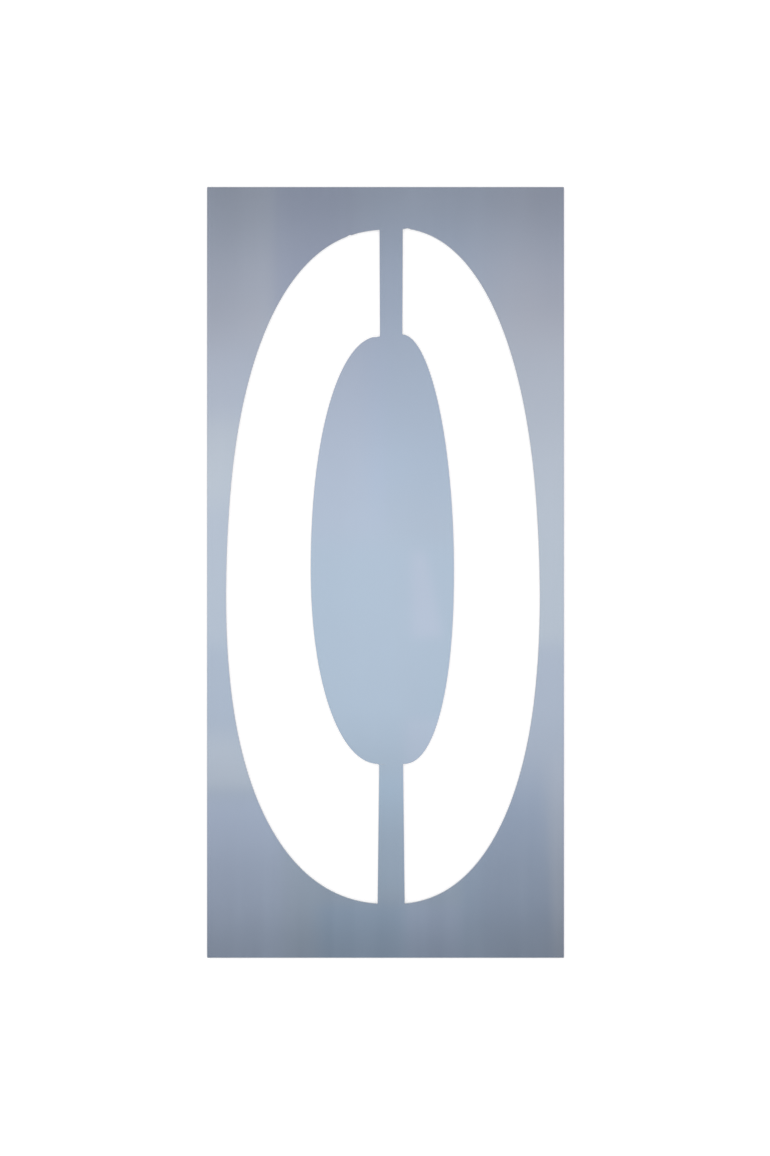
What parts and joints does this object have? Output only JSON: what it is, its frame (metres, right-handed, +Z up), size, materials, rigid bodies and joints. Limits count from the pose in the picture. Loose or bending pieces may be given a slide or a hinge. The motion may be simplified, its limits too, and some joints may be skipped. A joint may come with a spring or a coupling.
{
  "type": "lettering stencil",
  "caption": "Flat rectangular metal stencil plate for painting a tall numeral zero: crescent windows cut right through it round an oval island that slim tapered ties hold.",
  "frame": {"origin": "middle of the sheet's outline, on its underside, which rests on the surface to be painted", "axes": "+X across the sheet towards the numeral's right, +Y along the sheet towards the numeral's crown, +Z up out of the face that is painted over"},
  "size_m": [0.1584, 0.342, 0.001],
  "materials": {
    "sheet_metal": "satin mill finish, blue-grey, with bare cut edges"
  },
  "bodies": {
    "root": {"stencil_plate": "sheet_metal"}
  },
  "joints": []
}
